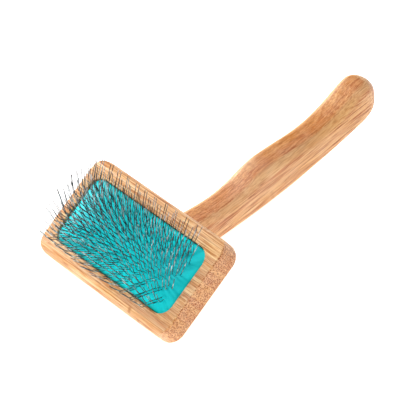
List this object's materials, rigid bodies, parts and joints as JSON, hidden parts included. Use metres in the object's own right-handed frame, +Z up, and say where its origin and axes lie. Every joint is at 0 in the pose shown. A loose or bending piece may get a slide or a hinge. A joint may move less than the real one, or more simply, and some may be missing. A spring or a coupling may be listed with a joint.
{
  "type": "slicker brush",
  "caption": "Pet slicker brush: rectangular bamboo head with a domed teal rubber cushion of fine bent steel wire pins, on a long contoured bamboo handle that leans back.",
  "frame": {"origin": "Centre of the bounding box in plan, at table height, with the brush lying on its back, the way it balances: the head's edge is just clear of the table and the back of the handle touches it.", "axes": "+Y runs from the head to the handle's free end. +X runs along the head's long side, to the right when the pin face is seen with the handle pointing up. +Z is up; the pin face looks up and towards -Y, 31 degrees from vertical."},
  "size_m": [0.122, 0.2368, 0.0656],
  "materials": {
    "head_bamboo": "satin",
    "handle_bamboo": "satin",
    "dowel_wood": "raw",
    "screw_steel": "zinc plated",
    "foam": "open cell",
    "teal_rubber": "matt",
    "pin_wire": "drawn wire"
  },
  "bodies": {
    "body": {"head_block": "head_bamboo", "handle": "handle_bamboo", "dowel_left": "dowel_wood", "dowel_right": "dowel_wood", "handle_screw": "screw_steel", "foam_cushion": "foam"},
    "pin_pad": {"rubber_facing": "teal_rubber", "pin_row_01": "pin_wire", "pin_row_02": "pin_wire", "pin_row_03": "pin_wire", "pin_row_04": "pin_wire", "pin_row_05": "pin_wire", "pin_row_06": "pin_wire", "pin_row_07": "pin_wire", "pin_row_08": "pin_wire", "pin_row_09": "pin_wire", "pin_row_10": "pin_wire", "pin_row_11": "pin_wire", "pin_row_12": "pin_wire", "pin_row_13": "pin_wire", "pin_row_14": "pin_wire", "pin_row_15": "pin_wire", "pin_row_16": "pin_wire", "pin_row_17": "pin_wire", "pin_row_18": "pin_wire", "pin_row_19": "pin_wire"}
  },
  "joints": [
    {"name": "cushion_press", "type": "slide", "parent": "body", "child": "pin_pad", "axis": [0, 0.5147, -0.8574], "range_m": [0, 0.0025], "stiffness_N_per_m": 8000, "deforming": ["foam_cushion"]}
  ]
}
